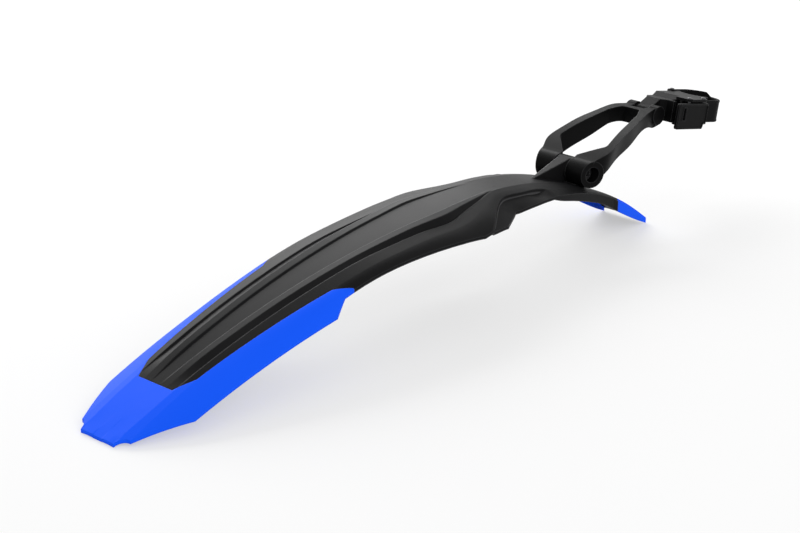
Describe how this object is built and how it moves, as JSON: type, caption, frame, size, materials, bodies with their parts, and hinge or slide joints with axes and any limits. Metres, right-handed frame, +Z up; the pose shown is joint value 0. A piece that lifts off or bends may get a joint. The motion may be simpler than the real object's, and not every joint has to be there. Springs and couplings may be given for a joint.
{
  "type": "bicycle rear mudguard",
  "caption": "Long arched clip-on rear mudguard, black blade with blue edge flaps, on a hinged loop arm that ends in a quick-release strap clamp for the seatpost.",
  "frame": {"origin": "under the middle of the whole object's box, on the floor that the tail tip and the nose stand on", "axes": "+X along the blade from the tail to the seatpost, +Y to the left, +Z up"},
  "size_m": [0.618, 0.095, 0.0863],
  "materials": {
    "shell_black": "satin",
    "flap_blue": "matt, soft touch",
    "arm_black": "fine grain",
    "strap_rubber": "matt",
    "black_steel": "black oxide",
    "insert_brass": "turned"
  },
  "bodies": {
    "blade": {"blade_shell": "shell_black", "rear_flap": "flap_blue", "nose_flap_left": "flap_blue", "nose_flap_right": "flap_blue"},
    "arm": {"arm": "arm_black", "blade_hinge_bolt": "black_steel", "blade_hinge_washer": "black_steel", "blade_hinge_nut": "black_steel", "clamp_hinge_screw": "black_steel", "clamp_hinge_insert": "insert_brass"},
    "clamp": {"clamp_body": "arm_black", "post_pad": "strap_rubber", "strap": "strap_rubber", "lever_pin": "black_steel", "strap_guide_pin": "black_steel", "strap_anchor_pin": "black_steel"},
    "lever": {"lever": "arm_black"}
  },
  "joints": [
    {"name": "blade_tilt", "type": "hinge", "parent": "blade", "child": "arm", "pos_m": [0.12852, 0, 0.05677], "axis": [0, -1, 0], "range_deg": [-15, 60]},
    {"name": "clamp_tilt", "type": "hinge", "parent": "arm", "child": "clamp", "pos_m": [0.22102, 0, 0.07727], "axis": [0, -1, 0], "range_deg": [-45, 45]},
    {"name": "lever_open", "type": "hinge", "parent": "clamp", "child": "lever", "pos_m": [0.26711, -0.01935, 0.07032], "axis": [0.2164, 0, 0.9763], "range_deg": [0, 100]}
  ]
}
